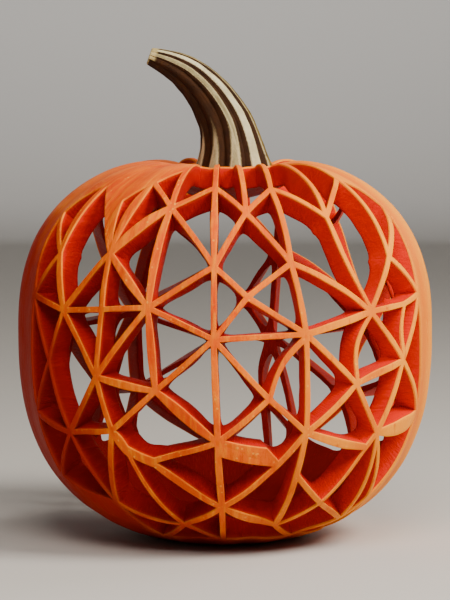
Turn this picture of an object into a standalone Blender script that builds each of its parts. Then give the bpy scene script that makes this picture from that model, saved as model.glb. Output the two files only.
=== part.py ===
# Carved pumpkin lantern: a hollowed pumpkin whose wall is cut into a net of struts, and its ridged stem.
# Metres, +Z up. The origin is the middle of the flat foot, and the front looks along -Y.
# A place on the skin is an azimuth, 0 at the front and 90 at the right, and an angle down from the top.

import math
from collections import namedtuple

import bmesh
import bpy
from mathutils import Vector

OBJECT_NAME = "carved_pumpkin_lantern"
BODY_NAME = "pumpkin"

# The uncut pumpkin
WIDEST_RADIUS = 0.149
CENTRE_HEIGHT = 0.150
RISE_ABOVE_CENTRE = 0.129
FOOT_RADIUS = 0.040
SQUARENESS = 2.5
DIMPLE_DEPTH = 0.020
DIMPLE_RADIUS = 0.038
RIB_COUNT = 12
RIB_DEPTH = 0.0026
RIB_TURN = 15.0
WALL = 0.016

# The stem leans left and is cut off at its tip
STEM_RIDGES = 10
STEM_RIDGE_DEPTH = 0.13
STEM_TWIST = 22.0
STEM_POINTS_ROUND = 40
STEM_RINGS = 13
STEM_TANGENT_STEP = 0.02
STEM_ROUTE = ((6, 252, 30), (6, 268, 26), (4, 286, 21), (-1, 302, 18),
              (-12, 320, 15), (-26, 334, 12), (-40, 342, 9), (-53, 347, 6))

# The front of the net, row by row from the top: azimuth and angle down of each knot, in degrees
FRONT_ROWS = {
    "b": ((-57, 41), (-32, 40), (-22, 30), (-4, 42), (19, 42), (60, 39)),
    "c": ((-71, 54), (-19, 50), (7, 52), (35, 54), (75, 52), (-41, 48)),
    "d": ((-56, 66), (-35, 65), (-3, 68), (19, 67), (55, 67)),
    "e": ((-66, 78), (-50, 81), (-35, 80), (-21, 79), (6, 76), (44, 81), (58, 80), (69, 78)),
    "f": ((-56, 95), (-3, 87), (22, 86), (57, 95)),
    "g": ((-37, 98), (-19, 101), (12, 103), (38, 100)),
    "h": ((-67, 110), (-50, 114), (-33, 112), (-2, 114), (23, 112), (49, 114), (74, 111),
          (-2, 117)),
    "i": ((-29, 117), (-22, 120), (16, 121), (22, 124), (46, 118), (12, 117)),
    "j": ((-66, 128), (-42, 135), (-1, 134), (35, 134), (62, 135)),
    "k": ((-17, 143), (21, 143), (57, 143)),
}

# The struts of the front, each line a chain of knots
FRONT_CHAINS = """
a1 b4 c3 b5 a3
a2 c3 d4 b5 c4 a4
b4 d3 f2 h4 h8 j3 l2
c4 b6 a5
b3 c2 b4
c3 d3 c2 e4 d3 e5 d4 f3 f2 e5 f3
d4 e6 c4
b6 c5 d5 e6 e7 e8 d5 b6
c5 e8 f4 e7
e6 f3 h5 g4 e6 f4 g4 f3 g3
e4 f2 g3 h4 g2 f2
e8 h7 f4 h6 g4
g3 h5 i3 i6 h4 i2 j3 i3
h8 i3
h5 i4 j4 i5 h5
i4 k2 j3 k1
i5 h6 h7 j5 h6 k3 j4 k2
k3 j5
b3 b2 c2 d2 b2 b1 d2 e4 g2 h3 g1 g2
d2 e3 e4 g1 e3 e2 d2
b1 c6 b2
c6 d2
c1 b1 d1 c1 e1 d1 e2 e1 h1 h2 g1 e2
h2 f1 e1
e2 f1 h1 j1 h2 j2 h3 h2
h3 i1 i2
i1 k1 j2 j1
"""

# Struts wider, thinner or more bent than the rest, in mm: half width at the ends, belly, bow to the right
Strut = namedtuple("Strut", "half belly bow")
PLAIN = Strut(1.9, 0.0, 0.0)
THIN = Strut(1.2, 0.0, 0.0)
HEM = Strut(1.2, 0.0, 0.0)
SPECIAL = {
    "b1 d1": Strut(2.0, 0.8, 0), "b2 c6": HEM, "c6 d2": HEM, "b2 d2": Strut(1.5, 2.2, 0),
    "c2 d2": Strut(2.6, 1.5, 0), "d1 e2": Strut(2.2, 0.6, 0), "c1 e1": Strut(1.8, 0, 4),
    "d2 e4": Strut(1.9, 1.0, 0), "c2 e4": Strut(2.0, 0.8, 0), "e4 g2": Strut(1.9, 0.9, 0),
    "g1 g2": Strut(1.9, 0.8, 0), "g2 h4": Strut(2.1, 1.6, 0), "h4 i6": Strut(2.4, 0, 0),
    "h3 i1": Strut(2.8, 0.9, 0), "i1 i2": Strut(3.2, 0, 0), "h5 i5": Strut(2.3, 0.7, 0),
    "h6 h7": Strut(2.6, 3.0, 0), "j3 k2": Strut(2.0, 1.4, 0), "i2 j3": Strut(1.9, 0.8, 0),
    "b4 d3": Strut(1.9, 0.5, 0), "f2 h4": Strut(2.1, 0.2, 0), "f4 g4": Strut(1.9, 0.6, 0),
    "c5 d5": Strut(2.4, 0, 0), "e6 f3": Strut(2.2, 0.3, 0), "h8 j3": Strut(2.0, 0.3, 0),
    "c4 e6": Strut(1.8, 0, 7), "e6 g4": Strut(1.8, 0, 8), "e7 f4": Strut(1.7, 0, 4),
    "f3 g3": Strut(1.8, 0, 4), "e1 h1": Strut(1.5, 0, 2), "h4 h8": Strut(2.0, 0, 0), "i3 i6": Strut(1.6, 0, 0),
    "d1 e1": THIN, "e1 f1": THIN, "f1 h2": THIN, "e2 f1": THIN, "f1 h1": THIN, "i1 k1": THIN,
    "h6 k3": THIN, "h6 j5": THIN, "i5 j4": THIN, "j2 k1": THIN, "j4 k2": THIN, "h2 j1": THIN, "h2 j2": THIN,
}

# The rings of the net by azimuth: the collar round the stem, and the skirt above the flat foot
COLLAR_DOWN = 16
COLLAR = {"a1": -8, "a2": 12, "a3": 38, "a4": 64, "a5": 90, "a6": -60, "a7": -30, "a8": -90}
SKIRT_DOWN = 152
SKIRT = {"l1": -35, "l2": -1, "l3": 38, "l4": 74, "l5": -60, "l6": -90}
ON_THE_SIDES = ("a5", "a8", "l6")

# The back repeats the front down to row i, mirrored and stretched, so that one can look through both.
# A knot of the back has the capital letter of its twin in front.
BACK_STRETCH = 1.13
BACK_ROWS = "bcdefghi"
FRONT_ONLY = ("c6", "h8", "i4", "i6")
# Knots of the back that stand elsewhere, so that two upright struts show through the front
BACK_PLACES = {"D4": (163, 70), "F3": (165, 97), "E4": (-151, 89), "G2": (-151, 112)}

# What joins the net to its rings, and front to back across the uncut sides
JOINING_CHAINS = """
b1 a6
b3 a7
k3 l3 k2
j5 l4 h7
j1 l5 j2 l1 k1 l2
b1 B1
c1 C1
e1 E1
h1 H1
c5 C5
e8 E8
h7 H7
H1 L5
I2 L1
H4 L2
H5 L3
H7 L4
G3 I3
H4 I3
"""
UNCUT = (
    "a6 a7 a8 b1 b2 b3",
    "b1 b2 c6",
    "b1 c6 d2",
    "h4 h8 i3 i6",
    "a6 a8 A6 b1 B1 c1 C1 e1 E1 h1 H1 j1 j2 l1 l5 l6 L5",
    "a5 b6 B6 c5 C5 e8 E8 h7 H7 j5 l4 L4",
    "H1 H2 H3 H4 H5 H6 H7 I1 I2 I3 I5 L1 L2 L3 L4 L5",
)

LONG_STEPS = 3
SHORT_STEPS = 2
SHORT_STRUT = 0.050
NARROWEST_CUT = 0.004
NEARLY_STRAIGHT = 0.01
SHARP_ANGLE = 35


def direction(azimuth, down):
    turn = math.radians(azimuth)
    fall = math.radians(down)
    return Vector((math.sin(fall) * math.sin(turn), -math.sin(fall) * math.cos(turn), math.cos(fall)))


def skin(way):
    """The point of the skin seen from the body's centre along the unit vector way."""
    level = math.hypot(way.x, way.y)
    edge = 1 - (FOOT_RADIUS / WIDEST_RADIUS) ** SQUARENESS
    drop_below_centre = CENTRE_HEIGHT / edge ** (1 / SQUARENESS)
    height = RISE_ABOVE_CENTRE if way.z > 0 else drop_below_centre
    reach = ((level / WIDEST_RADIUS) ** SQUARENESS + (abs(way.z) / height) ** SQUARENESS) ** (-1 / SQUARENESS)
    azimuth = math.atan2(way.x, -way.y) + math.radians(RIB_TURN)
    furrow = (0.5 + 0.5 * math.cos(RIB_COUNT * azimuth)) ** 2
    point = way * (reach - RIB_DEPTH * furrow * level)
    radius = math.hypot(point.x, point.y)
    if way.z > 0:
        point.z -= DIMPLE_DEPTH * math.exp(-(radius / DIMPLE_RADIUS) ** 2)
    point.z = max(point.z + CENTRE_HEIGHT, 0.0)
    return point


def twin(name):
    """The name of the same knot at the back."""
    return name if name in ON_THE_SIDES else name.upper()


def knot_directions():
    """Every knot of the net by name: rows a to l in front, their twins behind, and the foot's ring m."""
    knots = {}
    for row, places in FRONT_ROWS.items():
        for number, (azimuth, down) in enumerate(places, 1):
            name = f"{row}{number}"
            knots[name] = direction(azimuth, down)
            if row in BACK_ROWS and name not in FRONT_ONLY:
                knots[twin(name)] = direction(180 - BACK_STRETCH * azimuth, BACK_STRETCH * down)
    for ring, down in ((COLLAR, COLLAR_DOWN), (SKIRT, SKIRT_DOWN)):
        for name, azimuth in ring.items():
            knots[twin(name)] = direction(180 - azimuth, down)
            knots[name] = direction(azimuth, down)
    for name, place in BACK_PLACES.items():
        knots[name] = direction(*place)
    foot_down = 180 - math.degrees(math.atan(FOOT_RADIUS / CENTRE_HEIGHT))
    for name in ring_of(knots, "l"):
        knots[name.replace("l", "m").replace("L", "M")] = direction(azimuth_of(knots[name]), foot_down)
    return knots


def azimuth_of(way):
    return math.degrees(math.atan2(way.x, -way.y))


def ring_of(knots, letter):
    """The names of a ring's knots in order round the body."""
    names = [name for name in knots if name[0].lower() == letter]
    return sorted(names, key=lambda name: azimuth_of(knots[name]))


def strut_table(knots):
    """Every strut, keyed by its two knots, with its widths in mm."""
    struts = {}

    def add(first, second, strut):
        if first > second:
            first, second, strut = second, first, strut._replace(bow=-strut.bow)
        struts[first, second] = strut

    for chain in (FRONT_CHAINS + JOINING_CHAINS).strip().splitlines():
        names = chain.split()
        for first, second in zip(names, names[1:]):
            add(first, second, PLAIN)
    for pair, strut in SPECIAL.items():
        add(*pair.split(), strut)
    for (first, second), strut in list(struts.items()):
        if twin(first) in knots and twin(second) in knots and (first + second).islower():
            add(twin(first), twin(second), strut._replace(bow=-strut.bow))
    for letter in "alm":
        names = ring_of(knots, letter)
        for first, second in zip(names, names[1:] + names[:1]):
            add(first, second, PLAIN)
    for name in ring_of(knots, "l"):
        add(name, name.replace("l", "m").replace("L", "M"), PLAIN)
    return struts


def faces_of(knots, struts):
    """The cells of the net, each a list of knots in turn with the cell on the left."""
    around = {name: [] for name in knots}
    for first, second in struts:
        around[first].append(second)
        around[second].append(first)
    for name, others in around.items():
        centre = knots[name]
        across = centre.orthogonal().normalized()
        up = centre.cross(across)
        others.sort(key=lambda other: math.atan2((knots[other] - centre).dot(up),
                                                 (knots[other] - centre).dot(across)))
    faces = []
    waiting = {(first, second) for pair in struts for first, second in (pair, pair[::-1])}
    while waiting:
        first, second = min(waiting)
        face = []
        while (first, second) in waiting:
            waiting.remove((first, second))
            face.append(first)
            others = around[second]
            first, second = second, others[others.index(first) - 1]
        faces.append(face)
    return faces


def corner(before, knot, after, half_before, half_after):
    """Where the edges of two struts meet beside their knot, on the left of the walk round the cell."""
    left_before = before.cross(knot).normalized()
    left_after = knot.cross(after).normalized()
    turn = left_before.dot(left_after)
    spread = 1 - turn * turn
    if spread < NEARLY_STRAIGHT:
        return (knot + left_before * half_before).normalized()
    part_before = (half_before - turn * half_after) / spread
    part_after = (half_after - turn * half_before) / spread
    return (knot + left_before * part_before + left_after * part_after).normalized()


class Net:
    """The net of struts as an open surface on the skin."""

    def __init__(self):
        self.knots = knot_directions()
        self.struts = strut_table(self.knots)
        self.faces = faces_of(self.knots, self.struts)
        self.mesh = bmesh.new()
        self.points = {}

    def strut(self, first, second):
        """The strut's half width, belly and bow to the left of the walk, as parts of the body's radius."""
        key = tuple(sorted((first, second)))
        strut = self.struts[key]
        bow = -strut.bow if key == (first, second) else strut.bow
        scale = 0.001 / WIDEST_RADIUS
        return strut.half * scale, strut.belly * scale, bow * scale

    def steps(self, first, second):
        key = tuple(sorted((first, second)))
        length = (skin(self.knots[first]) - skin(self.knots[second])).length
        return SHORT_STEPS if length < SHORT_STRUT and key in self.cut_both_sides else LONG_STEPS

    def along(self, first, second, part):
        """A direction on the strut's middle line."""
        start, end = self.knots[first], self.knots[second]
        left = start.cross(end).normalized()
        bow = self.strut(first, second)[2]
        return (start.lerp(end, part) + left * bow * math.sin(math.pi * part)).normalized()

    def vertex(self, key, way):
        if key not in self.points:
            self.points[key] = self.mesh.verts.new(skin(way))
        return self.points[key]

    def middle_vertices(self, first, second, steps):
        names = tuple(sorted((first, second)))
        row = []
        for step in range(steps + 1):
            along = step if names[0] == first else steps - step
            if along in (0, steps):
                name = names[0] if along == 0 else names[1]
                row.append(self.vertex(name, self.knots[name]))
            else:
                row.append(self.vertex((names, along), self.along(first, second, step / steps)))
        return row

    def corners(self, face):
        found = []
        for index, name in enumerate(face):
            before, after = face[index - 1], face[(index + 1) % len(face)]
            half_before = self.strut(before, name)[0]
            half_after = self.strut(name, after)[0]
            found.append(corner(self.knots[before], self.knots[name], self.knots[after],
                                half_before, half_after))
        return found

    def can_be_cut(self, face):
        if any(set(face) <= set(names.split()) for names in UNCUT):
            return False
        if {name[0].lower() for name in face} <= set("lm") or {name[0].lower() for name in face} == {"a"}:
            return False
        found = self.corners(face)
        for index, name in enumerate(face):
            after = (index + 1) % len(face)
            run = found[after] - found[index]
            if run.dot(self.knots[face[after]] - self.knots[name]) <= 0 or run.length < NARROWEST_CUT:
                return False
        return True

    def add_cut_face(self, number, face):
        """The margins that the struts keep round an opening."""
        found = self.corners(face)
        for index, name in enumerate(face):
            after = (index + 1) % len(face)
            other = face[after]
            steps = self.steps(name, other)
            middle = self.middle_vertices(name, other, steps)
            half, belly, bow = self.strut(name, other)
            left = self.knots[name].cross(self.knots[other]).normalized()
            edge = []
            for step in range(steps + 1):
                part = step / steps
                way = found[index].lerp(found[after], part)
                way = way + left * (belly + bow) * math.sin(math.pi * part)
                place = (number, index, step) if step < steps else (number, after, 0)
                edge.append(self.vertex(place, way.normalized()))
            for step in range(steps):
                self.mesh.faces.new((middle[step], middle[step + 1], edge[step + 1], edge[step]))

    def add_uncut_face(self, number, face):
        """A cell filled with skin, as a fan of gridded triangles round its middle."""
        total = sum((self.knots[name] for name in face), Vector())
        hub = total.normalized()
        steps = LONG_STEPS
        for index, name in enumerate(face):
            after = (index + 1) % len(face)
            rows = [self.middle_vertices(name, face[after], steps)]
            for ring in range(1, steps):
                row = []
                last = steps - ring
                for place in range(last + 1):
                    way = self.along(name, face[after], place / last).lerp(hub, ring / steps)
                    spoke = index if place == 0 else after if place == last else None
                    key = (number, "spoke", spoke, ring) if spoke is not None else (number, index, ring, place)
                    row.append(self.vertex(key, way.normalized()))
                rows.append(row)
            rows.append([self.vertex((number, "hub"), hub)])
            for lower, upper in zip(rows, rows[1:]):
                for place in range(len(upper)):
                    self.mesh.faces.new((lower[place], lower[place + 1], upper[place]))
                    if place + 1 < len(upper):
                        self.mesh.faces.new((lower[place + 1], upper[place + 1], upper[place]))

    def build(self):
        cut = [self.can_be_cut(face) for face in self.faces]
        sides = {}
        for face, is_cut in zip(self.faces, cut):
            for index, name in enumerate(face):
                key = tuple(sorted((face[index - 1], name)))
                sides.setdefault(key, []).append(is_cut)
        self.cut_both_sides = {key for key, cuts in sides.items() if all(cuts)}
        for number, (face, is_cut) in enumerate(zip(self.faces, cut)):
            if is_cut:
                self.add_cut_face(number, face)
            else:
                self.add_uncut_face(number, face)
        return self.mesh


def object_from(build_mesh, name, collection):
    data = bpy.data.meshes.new(name)
    build_mesh.to_mesh(data)
    build_mesh.free()
    thing = bpy.data.objects.new(name, data)
    collection.objects.link(thing)
    return thing


def carved_shell(collection):
    """The net given the wall's thickness inwards."""
    shell = object_from(Net().build(), BODY_NAME, collection)
    wall = shell.modifiers.new("Wall", "SOLIDIFY")
    wall.thickness = WALL
    wall.offset = -1.0
    wall.use_rim = True
    return shell


def stem_point(part):
    """Middle and radius of the stem at a part of its length, on a smooth curve through its route."""
    last = len(STEM_ROUTE) - 1
    place = min(part * last, last - 1e-9)
    index = int(place)
    t = place - index
    picks = [STEM_ROUTE[max(0, min(last, index + step))] for step in (-1, 0, 1, 2)]
    mix = []
    for a, b, c, d in zip(*picks):
        mix.append(0.5 * (2 * b + (c - a) * t + (2 * a - 5 * b + 4 * c - d) * t ** 2
                          + (3 * b - a - 3 * c + d) * t ** 3) / 1000)
    return Vector((mix[0], 0.0, mix[1])), mix[2]


def stem(collection):
    """A loft of ridged sections along the stem's curve."""
    build = bmesh.new()
    rings = []
    for ring in range(STEM_RINGS):
        part = ring / (STEM_RINGS - 1)
        middle, radius = stem_point(part)
        beyond = stem_point(min(1.0, part + STEM_TANGENT_STEP))[0]
        before = stem_point(max(0.0, part - STEM_TANGENT_STEP))[0]
        ahead = (beyond - before).normalized()
        side = Vector((0, 1, 0))
        across = side.cross(ahead).normalized()
        row = []
        for number in range(STEM_POINTS_ROUND):
            angle = 2 * math.pi * number / STEM_POINTS_ROUND
            twist = math.radians(STEM_TWIST) * part
            ridge = abs(math.sin(STEM_RIDGES / 2 * angle)) - 0.5
            reach = radius * (1 + STEM_RIDGE_DEPTH * ridge)
            turned = angle + twist
            row.append(build.verts.new(middle + (across * math.cos(turned) + side * math.sin(turned)) * reach))
        rings.append(row)
    for lower, upper in zip(rings, rings[1:]):
        for number in range(STEM_POINTS_ROUND):
            after = (number + 1) % STEM_POINTS_ROUND
            build.faces.new((lower[number], lower[after], upper[after], upper[number]))
    for row in (rings[0], rings[-1]):
        build.faces.new(row)
    bmesh.ops.recalc_face_normals(build, faces=build.faces)
    return object_from(build, "stem", collection)


def principled(name, colour, roughness):
    material = bpy.data.materials.new(name)
    material.use_nodes = True
    shader = material.node_tree.nodes["Principled BSDF"]
    shader.inputs["Base Color"].default_value = (*colour, 1.0)
    shader.inputs["Roughness"].default_value = roughness
    shader.inputs["Metallic"].default_value = 0.0
    return material


def join_stem(shell, stem_object):
    """One solid: the stem fused on the uncut cap under it."""
    union = shell.modifiers.new("Stem", "BOOLEAN")
    union.operation = "UNION"
    union.solver = "EXACT"
    union.object = stem_object
    bpy.context.view_layer.update()
    depsgraph = bpy.context.evaluated_depsgraph_get()
    fused = bpy.data.meshes.new_from_object(shell.evaluated_get(depsgraph))
    shell.modifiers.clear()
    shell.data = fused
    bpy.data.objects.remove(stem_object)


def main():
    for thing in list(bpy.data.objects):
        bpy.data.objects.remove(thing)
    collection = bpy.data.collections.new(OBJECT_NAME)
    bpy.context.scene.collection.children.link(collection)
    shell = carved_shell(collection)
    join_stem(shell, stem(collection))
    shell.data.materials.clear()
    shell.data.materials.append(principled("pumpkin_rind", (0.80, 0.28, 0.05), 0.45))
    shell.data.shade_smooth()
    shell.data.set_sharp_from_angle(angle=math.radians(SHARP_ANGLE))


main()
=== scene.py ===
# Looks of the carved pumpkin lantern: the net of struts with its rind and cut flesh, and the ridged stem.
# Metres, +Z up, in the frame's own place. The front looks along -Y.
# A place on the skin is an azimuth, 0 at the front and 90 at the right, and an angle down from the top.

import math
from collections import namedtuple

import bmesh
import bpy
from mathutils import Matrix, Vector, noise


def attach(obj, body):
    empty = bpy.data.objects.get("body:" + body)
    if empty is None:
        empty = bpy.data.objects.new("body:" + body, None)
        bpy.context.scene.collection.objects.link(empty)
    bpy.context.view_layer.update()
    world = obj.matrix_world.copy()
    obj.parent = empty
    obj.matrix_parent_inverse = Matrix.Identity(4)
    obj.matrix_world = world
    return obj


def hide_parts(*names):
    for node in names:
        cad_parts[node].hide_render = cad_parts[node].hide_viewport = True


NODE = "pumpkin"
BODY = "root"
MM_PER_METRE = 1000

# The photograph's view of the lantern, and its size in pixels
VIEW_TARGET = Vector((0.0, 0.0, 0.1719))
VIEW_DISTANCE = 2.4
VIEW_ELEVATION = 5.0
VIEW_LENS = 199.7
VIEW_SENSOR = 36.0
PHOTO_HEIGHT = 600
PHOTO_MIDDLE = (225, 300)

# The uncut pumpkin
WIDEST_RADIUS = 0.149
CENTRE_HEIGHT = 0.150
RISE_ABOVE_CENTRE = 0.129
FOOT_RADIUS = 0.040
SQUARENESS = 2.5
DIMPLE_DEPTH = 0.020
DIMPLE_RADIUS = 0.038
RIB_COUNT = 12
RIB_DEPTH = 0.0026
RIB_TURN = 15.0
WALL = 0.016
RIND = 0.0013

# Where the photograph shows each knot of the front, to within a pixel, row by row from the top
FRONT_PIXELS = {
    "b1": (112, 181), "b2": (154, 182), "b4": (215, 188), "b5": (271.5, 186), "b6": (336.5, 178),
    "c1": (61, 212), "c2": (170.8, 207), "c3": (246, 211), "c4": (327, 215), "c5": (386, 204.5),
    "d1": (59.5, 254), "d2": (109, 254), "d3": (213, 267), "d4": (290.5, 260.5), "d5": (390.4, 256.5),
    "e1": (33.7, 294), "e2": (61.6, 311), "e3": (102.4, 308.5), "e4": (147, 307.5),
    "e5": (248, 296), "e6": (374, 311), "e7": (404.8, 304), "e8": (420, 295),
    "f1": (47.5, 359), "f2": (213.5, 339.5), "f3": (307, 333), "f4": (403.4, 358.5),
    "g1": (94, 376), "g2": (153.7, 393.5), "g3": (271.7, 401), "g4": (359, 384),
    "h1": (36.4, 412), "h2": (69, 432), "h3": (111.8, 432.5), "h4": (218.5, 444),
    "h5": (308, 434.5), "h6": (380, 433.5), "h7": (419.2, 414.8),
    "i2": (151.5, 463.5), "i3": (279.6, 468), "i4": (295.6, 477.6), "i5": (367.4, 451),
    "j2": (117, 505), "j3": (221, 507), "j4": (320, 503), "j5": (366.7, 498),
    "k1": (183.6, 526.5), "k2": (275.3, 526), "k3": (340.2, 517.8),
}
# Knots of the front that are placed by azimuth and angle down instead, in degrees
FRONT_PLACES = {"b3": (-22, 30), "c6": (-41, 48), "h8": (-2, 117), "i1": (-29, 117), "i6": (12, 117),
                "j1": (-66, 128)}
# The first step along a knot's line of sight, and how near the skin it ends, in metres
SEEN_STEP = 0.002
SEEN_ACCURACY = 5e-7

# The struts of the front, each line a chain of knots
FRONT_CHAINS = """
a1 b4 c3 b5 a3
a2 c3 d4 b5 c4 a4
b4 d3 f2 h4 h8 j3 l2
c4 b6 a5
b3 c2 b4
c3 d3 c2 e4 d3 e5 d4 f3 f2 e5 f3
d4 e6 c4
b6 c5 d5 e6 e7 e8 d5 b6
c5 e8 f4 e7
e6 f3 h5 g4 e6 f4 g4 f3 g3
e4 f2 g3 h4 g2 f2
e8 h7 f4 h6 g4
g3 h5 i3 i6 h4 i2 j3 i3
h8 i3
h5 i4 j4 i5 h5
i4 k2 j3 k1
i5 h6 h7 j5 h6 k3 j4 k2
k3 j5
b3 b2 c2 d2 b2 b1 d2 e4 g2 h3 g1 g2
d2 e3 e4 g1 e3 e2 d2
b1 c6 b2
c6 d2
c1 b1 d1 c1 e1 d1 e2 e1 h1 h2 g1 e2
h2 f1 e1
e2 f1 h1 j1 h2 j2 h3 h2
h3 i1 i2
i1 k1 j2 j1
"""

# Struts wider, thinner or more bent than the rest, in mm: half width at the ends, belly, bow to the right
Strut = namedtuple("Strut", "half belly bow")
PLAIN = Strut(1.9, 0.0, 0.0)
THIN = Strut(1.2, 0.0, 0.0)
HEM = Strut(1.2, 0.0, 0.0)
SPECIAL = {
    "b1 d1": Strut(2.0, 0.8, 0), "b2 c6": HEM, "c6 d2": HEM, "b2 d2": Strut(1.5, 2.2, 0),
    "c2 d2": Strut(2.6, 1.5, 0), "d1 e2": Strut(2.2, 0.6, 0), "c1 e1": Strut(1.8, 0, 4),
    "d2 e4": Strut(1.9, 1.0, 0), "c2 e4": Strut(2.0, 0.8, 0), "e4 g2": Strut(1.9, 0.9, 0),
    "g1 g2": Strut(1.9, 0.8, 0), "g2 h4": Strut(2.1, 1.6, 0), "h4 i6": Strut(2.4, 0, 0),
    "h3 i1": Strut(2.8, 0.9, 0), "i1 i2": Strut(3.2, 0, 0), "h5 i5": Strut(2.3, 0.7, 0),
    "h6 h7": Strut(2.6, 3.0, 0), "j3 k2": Strut(2.0, 1.4, 0), "i2 j3": Strut(1.9, 0.8, 0),
    "b4 d3": Strut(1.9, 0.5, 0), "f2 h4": Strut(2.1, 0.2, 0), "f4 g4": Strut(1.9, 0.6, 0),
    "c5 d5": Strut(2.4, 0, 0), "e6 f3": Strut(2.2, 0.3, 0), "h8 j3": Strut(2.0, 0.3, 0),
    "c4 e6": Strut(1.8, 0, 7), "e6 g4": Strut(1.8, 0, 8), "e7 f4": Strut(1.7, 0, 4),
    "f3 g3": Strut(1.8, 0, 4), "e1 h1": Strut(1.5, 0, 2), "h4 h8": Strut(2.0, 0, 0),
    "i3 i6": Strut(1.6, 0, 0),
    "d1 e1": THIN, "e1 f1": THIN, "f1 h2": THIN, "e2 f1": THIN, "f1 h1": THIN, "i1 k1": THIN,
    "h6 k3": THIN, "h6 j5": THIN, "i5 j4": THIN, "j2 k1": THIN, "j4 k2": THIN, "h2 j1": THIN,
    "h2 j2": THIN,
}

# The rings of the net by azimuth: the collar round the stem, and the skirt above the flat foot
COLLAR_DOWN = 16
COLLAR = {"a1": -8, "a2": 12, "a3": 38, "a4": 64, "a5": 90, "a6": -60, "a7": -30, "a8": -90}
SKIRT_DOWN = 152
SKIRT = {"l1": -35, "l2": -1, "l3": 38, "l4": 74, "l5": -60, "l6": -90}
ON_THE_SIDES = ("a5", "a8", "l6")

# The back repeats the front down to row i, mirrored and stretched.
# A knot of the back has the capital letter of its twin in front.
BACK_STRETCH = 1.13
BACK_ROWS = "bcdefghi"
FRONT_ONLY = ("c6", "h8", "i4", "i6")
# Knots of the back that stand elsewhere, so that two upright struts show through the front
BACK_PLACES = {"D4": (163, 70), "F3": (165, 97), "E4": (-151, 89), "G2": (-151, 112)}

# What joins the net to its rings, and front to back across the uncut sides
JOINING_CHAINS = """
b1 a6
b3 a7
k3 l3 k2
j5 l4 h7
j1 l5 j2 l1 k1 l2
b1 B1
c1 C1
e1 E1
h1 H1
c5 C5
e8 E8
h7 H7
H1 L5
I2 L1
H4 L2
H5 L3
H7 L4
G3 I3
H4 I3
"""
# Cells whose knots are all in one of these lists are left whole
UNCUT = (
    "a6 a7 a8 b1 b2 b3",
    "b1 b2 c6",
    "b1 c6 d2",
    "h4 h8 i3 i6",
    "a6 a8 A6 b1 B1 c1 C1 e1 E1 h1 H1 j1 j2 l1 l5 l6 L5",
    "a5 b6 B6 c5 C5 e8 E8 h7 H7 j5 l4 L4",
    "H1 H2 H3 H4 H5 H6 H7 I1 I2 I3 I5 L1 L2 L3 L4 L5",
)
# The shortest edge of an opening, as a part of the body's radius
NARROWEST_CUT = 0.004
# How little two struts turn at a knot when they count as one line
NEARLY_STRAIGHT = 0.01

# The grain of the meshes
ALONG_GRID = 0.0042
FEWEST_STEPS = 3
UNCUT_GRID = 0.0055
FEWEST_RINGS = 2
NORMAL_STEP = 0.004
SAME_DEPTH = 0.0001

# How uneven the knife and the fruit are, over which sizes, and a seed for each pattern
CUT_WOBBLE = 0.00030
CUT_WOBBLE_SIZE = 0.012
CUT_RIPPLE = 0.00016
CUT_RIPPLE_SIZE = 0.0035
SKIN_WOBBLE = 0.00022
SKIN_WOBBLE_SIZE = 0.022
INNER_FILLET = 0.0034
INNER_FILLET_REACH = 0.011
SCRAPED_WOBBLE = 0.00070
SCRAPED_WOBBLE_SIZE = 0.011
SKIN_SEED = 1
SCRAPED_SEED = 2
CUT_SEED = 3
RIPPLE_SEED = 4

# A strut's half section, out from its middle line and down its edge: part of the way, inset, depth
Row = namedtuple("Row", "part inset depth")
RIND_SECTION = (
    Row(0.0, 0, 0), Row(0.5, 0, 0), Row(1.0, 0.00042, 0), Row(1.0, 0.00012, 0.00012), Row(1.0, 0, 0.00042),
    Row(1.0, 0, RIND), Row(0.0, 0, RIND),
)
FLESH_SECTION = (
    Row(0.0, 0, RIND), Row(1.0, 0.00010, RIND), Row(1.0, 0.00004, 0.0040), Row(1.0, 0, 0.0070),
    Row(1.0, 0, 0.0100), Row(1.0, 0, 0.0130), Row(1.0, 0.00008, 0.0154), Row(1.0, 0.00050, WALL),
    Row(0.5, 0, WALL), Row(0.0, 0, WALL),
)

# The stem leans left and is cut off at its tip: x, z and radius in mm
STEM_ROUTE = ((6, 252, 30), (6, 268, 26), (4, 286, 21), (-1, 302, 18),
              (-12, 320, 15), (-26, 334, 12), (-40, 342, 9), (-53, 347, 6))
# How far short of the route's last point its curve ends
CURVE_END = 1e-9
STEM_RIDGES = 10
STEM_RIDGE_DEPTH = 0.13
RIDGE_SHARPNESS = 0.8
RIDGE_MIDDLE = 0.5
STEM_TWIST = 22.0
STEM_POINTS_ROUND = 160
STEM_RINGS = 110
STEM_START = 0.05
STEM_TANGENT_STEP = 0.02
STEM_GRAIN = 0.03
STEM_GRAIN_ROUND = 9
STEM_GRAIN_ALONG = 3
TOES_END = 0.17
TOES_REACH = 0.004
TOES_MIDDLE = 0.3
# The sawn tip, ring by ring inwards: part of its radius, and how far the ring stands out
TIP_RINGS = ((0.98, 0.0006), (0.92, 0.0012), (0.80, 0.0014), (0.60, 0.0008), (0.34, -0.0002),
             (0.14, -0.0006))
# How olive each ridge is, from 0 for cream to 1, in order round the stem from its right
RIDGE_TONES = (0.2, 0.6, 0.1, 0.8, 0.4, 0.55, 0.6, 0.65, 0.05, 1.0)
# The stem's paleness: painted light that makes it paler on its right side, with painted shade that keeps
# its left dark; and paler near its foot, in its own colour there
PAINTED_LIGHT_MIDDLE = 0.35
PAINTED_LIGHT_TO_RIGHT = 3.0
PALE_FOOT = 1.12
PALE_FADE = 1.1
# The tan of the cut runs over the tip's edge, but for its left side
CAP_START = 0.945
CAP_FADE = 0.02
CAP_LEFT = -0.3

SHARP_ANGLE = 50
STEM_SHARP_ANGLE = 60

# The studio floor's turned profile: radius and height
STUDIO_SIDES = 96
STUDIO_PROFILE = ((3.2, 0.0), (3.6, 0.04), (4.0, 0.17), (4.4, 0.45), (4.7, 0.85), (4.85, 1.35),
                  (4.9, 2.0), (4.9, 4.0))

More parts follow.
